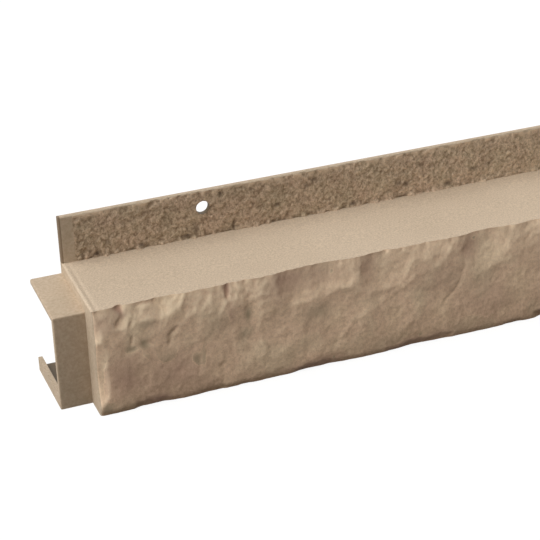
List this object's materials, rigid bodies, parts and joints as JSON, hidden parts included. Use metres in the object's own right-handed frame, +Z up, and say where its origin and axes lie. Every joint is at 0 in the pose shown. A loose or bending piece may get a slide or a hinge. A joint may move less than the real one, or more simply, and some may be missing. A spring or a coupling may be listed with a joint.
{
  "type": "stone veneer ledge trim",
  "caption": "Moulded stone-look ledge trim: nailing flange, sloping ledge and rock face over an open back, with a joint tongue at one end.",
  "frame": {"origin": "middle of the underside of the box that holds the trim", "axes": "+X along the trim, away from the tongue; +Y towards the wall; +Z up"},
  "size_m": [1.237, 0.064, 0.0935],
  "materials": {
    "stone_polymer": "matt moulded stone texture, through-coloured buff"
  },
  "bodies": {
    "root": {"ledge_trim": "stone_polymer"}
  },
  "joints": []
}
